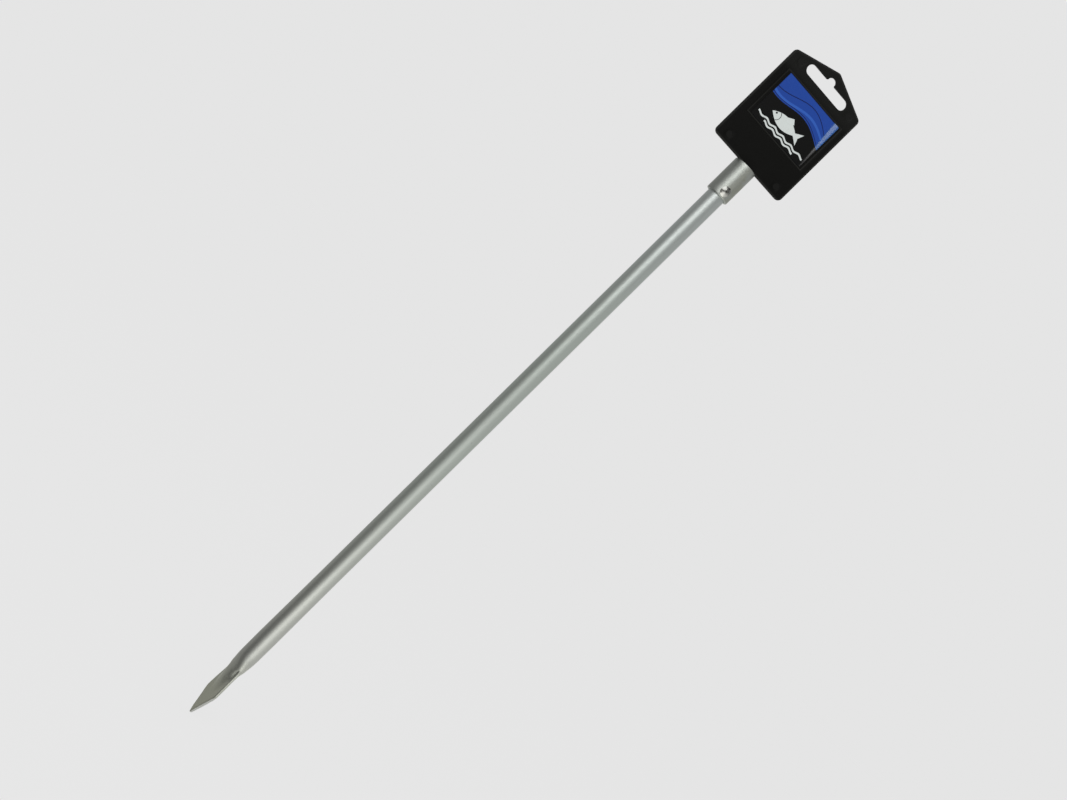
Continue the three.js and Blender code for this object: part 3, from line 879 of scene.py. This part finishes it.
stud = {"foot": 454.4, "top": 462.7, "footRadius": 1.2, "chamfer": 0.8, "relief": 0.5,
        "edge": 0.08, "sides": 108}


# A bag of a profile: chamfered foot, screw thread, and a plain neck under the card.
def studShape():
    radius, foot, top, chamfer = screw["studRadius"], stud["foot"], stud["top"], stud["chamfer"]
    edge, neck = stud["edge"], top - stud["relief"]
    heights = np.arange(foot + chamfer, neck, screw["pitch"] / screw["turnRows"])
    profile = np.concatenate([[(stud["footRadius"], foot), (radius - chamfer - 0.1, foot)],
                              [(radius - chamfer, foot + 0.05)],
                              np.stack([np.full_like(heights, radius), heights], -1),
                              [(radius, top - 0.3), (radius, top - edge), (radius - edge, top)]])

    # The screw's groove, shallower where the foot's chamfer has taken the crest away.
    def grooves(angle, height, started):
        full = screw["studDepth"] * thread(angle, height)
        full = full * (1 - eased(height, neck - screw["runOut"], neck))
        return -np.maximum(full - (radius - started), 0) * (height > foot + 0.01)

    rows = turned(profile, stud["sides"], grooves)
    return skin(rows, np.array([[0, 0, foot], [0, 0, top]]))


label = {"box": (-21.75, 486.1, 23.1, 519.3), "front": -0.9, "thickness": 0.15, "corner": 0.8,
         "edgeRows": (0, 0.05, 0.15, 0.3, 0.5, 0.8), "rows": 84, "columns": 110,
         "foldTop": 4.0, "foldFoot": 0.7,              # how far the fold lies from the edge
         "fold": 10.0, "foldSoft": 0.12,               # its angle, and how softly it bends
         "curlTop": 0.95, "curlFoot": 0.2,             # how much of the edge curls back
         "middle": (0.7, 502.7), "halfHigh": 16.6,     # of the print
         "rim": (-22.0, 22.15, 16.2),                  # its left, its right and half its height
         "water": (0.115, 0.9, 3.2), "waterHigh": 1.5, "waterFall": 0.13,
         "bands": ((3.4, (0.09, -0.4, 1.6), 0.75, "light"),      # height over the water, wave,
                   (6.3, (0.075, 1.0, 2.4), 0.28, "dark"),       # half width and colour
                   (0.9, (0, 0, 0), 0.22, "dark")),
         "fish": {"at": (-3.4, -6.3), "scale": 1.15, "long": 9.2, "high": 3.5, "tail": 7.2,
                  "tailEnd": 11.0, "gill": (-6.4, 0), "gillRadius": 2.9, "eye": (-6.7, 0.75)},
         "waves": ((-12.5, -20.5, 20.5), (-14.6, -13.5, 13.5)),  # height, start and end
         "wave": (0.85, 0, 0.55),
         "colours": {"skyLow": (0.0128, 0.055, 0.305), "skyHigh": (0.0142, 0.061, 0.335),
                     "light": (0.030, 0.110, 0.47), "dark": (0.006, 0.014, 0.09),
                     "water": (0.0035, 0.0035, 0.0032), "white": (0.67, 0.715, 0.695),
                     # The last colour is a painted cyan tint of the glint's reflection on the
                     # lifted margin.
                     "rim": (0.004, 0.004, 0.006), "liftedGlintTint": (0.012, 0.115, 0.30)}}


# A thin sheet, its corners rounded. Its right margin is bent up along a slanting fold, by the
# distance past the fold times the tangent of the fold's angle.
def labelShape():
    x0, z0, x1, z1 = label["box"]
    edgeward = np.array(label["edgeRows"])
    z = np.concatenate([z0 + edgeward, np.linspace(z0 + 1.1, z1 - 1.1, label["rows"]),
                        z1 - edgeward[::-1]])[:, None]
    u = np.linspace(0, 1, label["columns"])[None, :]
    corner = label["corner"]
    near = np.clip(corner - np.minimum(z - z0, z1 - z), 0, corner)
    pulled = corner - np.sqrt(corner ** 2 - near ** 2)
    x = x0 + pulled + (x1 - x0 - 2 * pulled) * u
    share = (z - z0) / (z1 - z0)
    over = x - (x1 - label["foldFoot"] - (label["foldTop"] - label["foldFoot"]) * share)
    past = 0.5 * (over + np.sqrt(over ** 2 + label["foldSoft"] ** 2))
    lift = np.where(over > -1, past * math.tan(math.radians(label["fold"])), 0)
    front = np.stack([x, label["front"] - lift, np.broadcast_to(z, x.shape)], -1)
    back = front + [0, label["thickness"], 0]
    count, wide = x.shape
    ids = np.arange(count * wide).reshape(count, wide)
    quads = gridQuads(ids)
    rim = np.concatenate([ids[0], ids[1:, -1], ids[-1, -2::-1], ids[-2:0:-1, 0]])
    walls = np.stack([rim, np.roll(rim, -1), np.roll(rim, -1) + ids.size, rim + ids.size], -1)
    points = np.concatenate([front.reshape(-1, 3), back.reshape(-1, 3)])
    faces = quads.tolist() + (quads[:, ::-1] + ids.size).tolist() + walls[:, ::-1].tolist()
    return points, faces


# A laminated print: blue sky over black water, bands across the sky, a fish and two wave lines.
# Waves are sines of the way across, each given by its rate, shift and height. Its film shines
# where the margin has let go, but not where the margin's edge curls back, and a painted cyan tint
# over the sky there stands for the glint's reflection.
def printedLabel():
    f, tones = Finish("printedLabel"), label["colours"]
    x, _, z = f.axes()
    x, z = x - label["middle"][0], z - label["middle"][1]

    def wave(rate, shift, high):
        return (x * rate + shift).sine() * high

    overWater = z - (label["waterHigh"] + wave(*label["water"]) - x * label["waterFall"])
    above = overWater.between(-0.06, 0.06)
    sky = f.mixed((z / 34 + 0.5).held(), tones["skyLow"], tones["skyHigh"])
    for height, waved, halfWidth, tone in label["bands"]:
        band = line(overWater - height - wave(*waved), halfWidth)
        sky = f.mixed(band * above, sky, tones[tone])
    colour = f.mixed(above, tones["water"], sky)

    fish = label["fish"]                                   # swimming left, round its own middle
    fishX = (x - fish["at"][0]) / fish["scale"]
    fishZ = (z - fish["at"][1]) / fish["scale"]
    alongBody = fishX / fish["long"]
    body = fish["high"] * (1 - alongBody * alongBody) - abs(fishZ)
    tail = (fishX - fish["tail"]) * 0.62 + 0.35 - abs(fishZ)
    tail = tail.least(fish["tailEnd"] - fishX + abs(fishZ) * 0.4)
    fin = (2.2 - abs(fishX - 0.6 - fishZ * 0.35) * 0.75 - abs(fishZ - 3.2)) * 0.8
    gill = line(fromPoint(fishX, fishZ, fish["gill"]) - fish["gillRadius"], 0.17)
    gill = gill * (fishX + 5.0).between(0, 0.3)
    eye = 1 - fromPoint(fishX, fishZ, fish["eye"]).between(0.5, 0.62)
    white = body.most(tail).most(fin).between(-0.07, 0.07) * (1 - gill) * (1 - eye)
    for low, start, end in label["waves"]:
        crest = line(z - low - wave(*label["wave"]), 0.55, 0.07)
        crest = crest * (x - start).between(0, 0.3) * (1 - (x - end).between(-0.3, 0))
        white = white.most(crest)
    colour = f.mixed(white, colour, tones["white"])

    left, right, high = label["rim"]
    rim = (x - right).between(0, 0.3).most((left - x).between(0, 0.3))
    rim = rim.most(abs(z).between(high, high + 0.25))
    colour = f.mixed(rim * 0.85, colour, tones["rim"])
    share = (z + label["halfHigh"]) / (2 * label["halfHigh"])
    margin = label["box"][2] - label["middle"][0]
    fold = margin - label["foldFoot"] - share * (label["foldTop"] - label["foldFoot"])
    liftedGlintTint = (x - fold).between(-0.15, 0.15)
    curl = x - margin + label["curlFoot"] + share * (label["curlTop"] - label["curlFoot"])
    shining = liftedGlintTint * (1 - curl.between(-0.35, 0.35))
    # A painted cyan tint over the lifted margin's sky, for the glint's reflection.
    colour = f.mixed(liftedGlintTint * above * 0.5, colour, tones["liftedGlintTint"])
    return f.principled(Base_Color=colour, Roughness=0.3, Specular_IOR_Level=0.2,
                        Coat_Weight=shining * 0.95 + 0.05, Coat_Roughness=0.12,
                        Normal=f.bump(f.noise(55, detail=2), 0.02))


tubeSkin, tubeMarks = tubeShape()
makePiece("pressed_tube", *tubeSkin, drawnTube(), "stick", "tube", "spear_tube", 30, tubeMarks)
makePiece("turned_head", *headShape(), turnedHead(), "stick", "head", "threaded_head")
makePiece("rivet_dome", *rivetShape(), rivetSkin(), "stick", "rivet", "rivet_body")
makePiece("rivet_pin", *mandrelShape(), mandrelEnd(), "stick", "mandrel", "rivet_mandrel")
black = mouldedBlack()
makePiece("card_plate", *cardShape(), black, "card", "card", "hang_card")
makePiece("card_screw", *studShape(), black, "card", "card", "card_stud")
makePiece("card_print", *labelShape(), printedLabel(), "card", "label", "card_label")
print("pieces made")


studio = {"pale": 0.783, "fill": 0.55, "floorTint": 0.06, "floorLit": 0.033,
          "floorRadius": 20, "floorSides": 64,        # lengths in metres, angles in degrees
          "lamps": {"upper": {"aside": -11.5, "up": 33.3, "size": (0.9, 1.01), "level": 2.04},
                    "lower": {"aside": 30.7, "up": -31.1, "size": (0.66, 1.19), "level": 0.79}},
          "lampsAway": 1.3,
          "glint": {"level": 3.5, "size": (0.1, 0.1), "place": (-0.0506, -1.177, 0.77),
                    "aim": (0.0215, 0, 0.508)},
          "wall": {"radius": 1.6, "low": -4.0, "high": 3.0, "lowGlow": -0.5, "highGlow": 1.0,
                   "foot": 0.3, "columns": 145,
                   "turn": (-180, -152, -120, -95, -70, -45, -20, 5, 30, 50, 70, 95, 120, 152,
                            180),
                   "below": (0.78, 0.46, 0.25, 0.3, 0.09, 0, 0.11, 0.81, 0.65, 0.77, 0.74, 0.65,
                             0.58, 0.68, 0.78),
                   "above": (0.78, 0.57, 0.4, 0.38, 0.24, 0.42, 0.48, 0.25, 0.14, 0.19, 0.32,
                             0.42, 0.42, 0.6, 0.78)}}


# 1 for what the camera sees, straight, in a reflection or through something clear.
def seen(f):
    rays = f.add("ShaderNodeLightPath").outputs
    kinds = [f.field(rays[k]) for k in ("Is Camera Ray", "Is Glossy Ray", "Is Transmission Ray")]
    return kinds[0].most(kinds[1]).most(kinds[2])


# The backdrop's level for what sees it, and the fill light's for the rest.
def addWorld():
    world = bpy.data.worlds.new("studio")
    scene.world = world
    f = Finish("studio", world)
    level = seen(f) * (studio["pale"] - studio["fill"]) + studio["fill"]
    background = f.add("ShaderNodeBackground", Color=(1, 1, 1), Strength=level)
    f.add("ShaderNodeOutputWorld", Surface=background.outputs[0])


# A pale round floor under the point: part of it takes the light and the stick's shadow, and the
# rest glows to the backdrop's level for what sees it, so that it meets the backdrop unseen.
def addFloor():
    f = Finish("paleFloor")
    lit = f.add("ShaderNodeBsdfDiffuse", Color=(studio["floorTint"],) * 3)
    level = seen(f) * (studio["pale"] - studio["floorLit"] - studio["fill"]) + studio["fill"]
    glow = f.add("ShaderNodeEmission", Color=(1, 1, 1), Strength=level)
    both = f.add("ShaderNodeAddShader")
    for shader, slot in zip((lit, glow), both.inputs):
        f.tree.links.new(shader.outputs[0], slot)
    mesh = bpy.data.meshes.new("floor")
    ring = np.insert(circle(0, 0, studio["floorRadius"], studio["floorSides"]), 2, 0, 1)
    mesh.from_pydata(ring.tolist(), [], [list(range(studio["floorSides"]))])
    mesh.materials.append(f.done(both))
    floor = put("floor", mesh)
    floor.visible_glossy = floor.visible_shadow = False    # the lower lamp shines through it


# A soft flat lamp of the given brightness, where 1 is white.
def addLamp(name, level, size, pose):
    data = bpy.data.lights.new(name, "AREA")
    data.shape, data.size, data.size_y = "RECTANGLE", *size
    data.energy = level * math.pi * size[0] * size[1]
    lamp = put(name, data)
    lamp.matrix_world = pose
    lamp.visible_camera = False


# A soft lamp that faces the middle of the picture, at angles aside and up the stick from the
# camera's direction.
def addSoftLamp(name, spec):
    outward = (towardCamera + math.tan(math.radians(spec["aside"])) * asideRight
               + math.tan(math.radians(spec["up"])) * upright).normalized()
    across = (imageRight - outward * imageRight.dot(outward)).normalized()
    turn = Matrix((across, outward.cross(across), outward)).transposed().to_4x4()
    place = Matrix.Translation(aim + studio["lampsAway"] * outward)
    addLamp(name, spec["level"], spec["size"], place @ turn)


# The small lamp whose reflection is the glint on the label's lifted margin.
def addGlint(spec):
    place = Vector(spec["place"])
    turn = (place - Vector(spec["aim"])).to_track_quat("Z", "Y").to_matrix().to_4x4()
    addLamp("glint", spec["level"], spec["size"], Matrix.Translation(place) @ turn)


# The studio round the stick, seen only in reflections: a tall round wall whose glow goes from a
# low to a high row of levels, each a level for each direction to the right of the camera.
def addWall():
    wall = studio["wall"]
    f = Finish("studioWall")
    glow = f.mixed(f.attribute("glow"), (0, 0, 0), (1, 1, 1))
    angle = np.linspace(-180, 180, wall["columns"])
    heights = np.array([wall["low"], wall["lowGlow"], wall["highGlow"], wall["high"]])
    flat = (np.cos(np.radians(angle))[:, None] * np.array(towardCamera)
            + np.sin(np.radians(angle))[:, None] * np.array(asideRight)) * wall["radius"]
    points = flat[None] + heights[:, None, None] * np.array([0, 0, 1])
    ids = np.arange(points[..., 0].size).reshape(len(heights), len(angle))
    below, above = (np.interp(angle, wall["turn"], wall[key]) for key in ("below", "above"))
    mesh = bpy.data.meshes.new("studioWall")
    mesh.from_pydata(points.reshape(-1, 3).tolist(), [], gridQuads(ids).tolist())
    layer = mesh.attributes.new("glow", "FLOAT", "POINT")
    levels = np.concatenate([np.maximum(below, wall["foot"]), below, above, above])
    layer.data.foreach_set("value", levels.astype(np.float32))
    mesh.materials.append(f.done(f.add("ShaderNodeEmission", Color=glow, Strength=1.0)))
    sheet = put("studioWall", mesh)
    sheet.visible_camera = sheet.visible_diffuse = sheet.visible_shadow = False
    sheet.visible_transmission = False


addWorld()
addFloor()
for name, spec in studio["lamps"].items():
    addSoftLamp(name, spec)
addGlint(studio["glint"])
addWall()
print("studio lit")
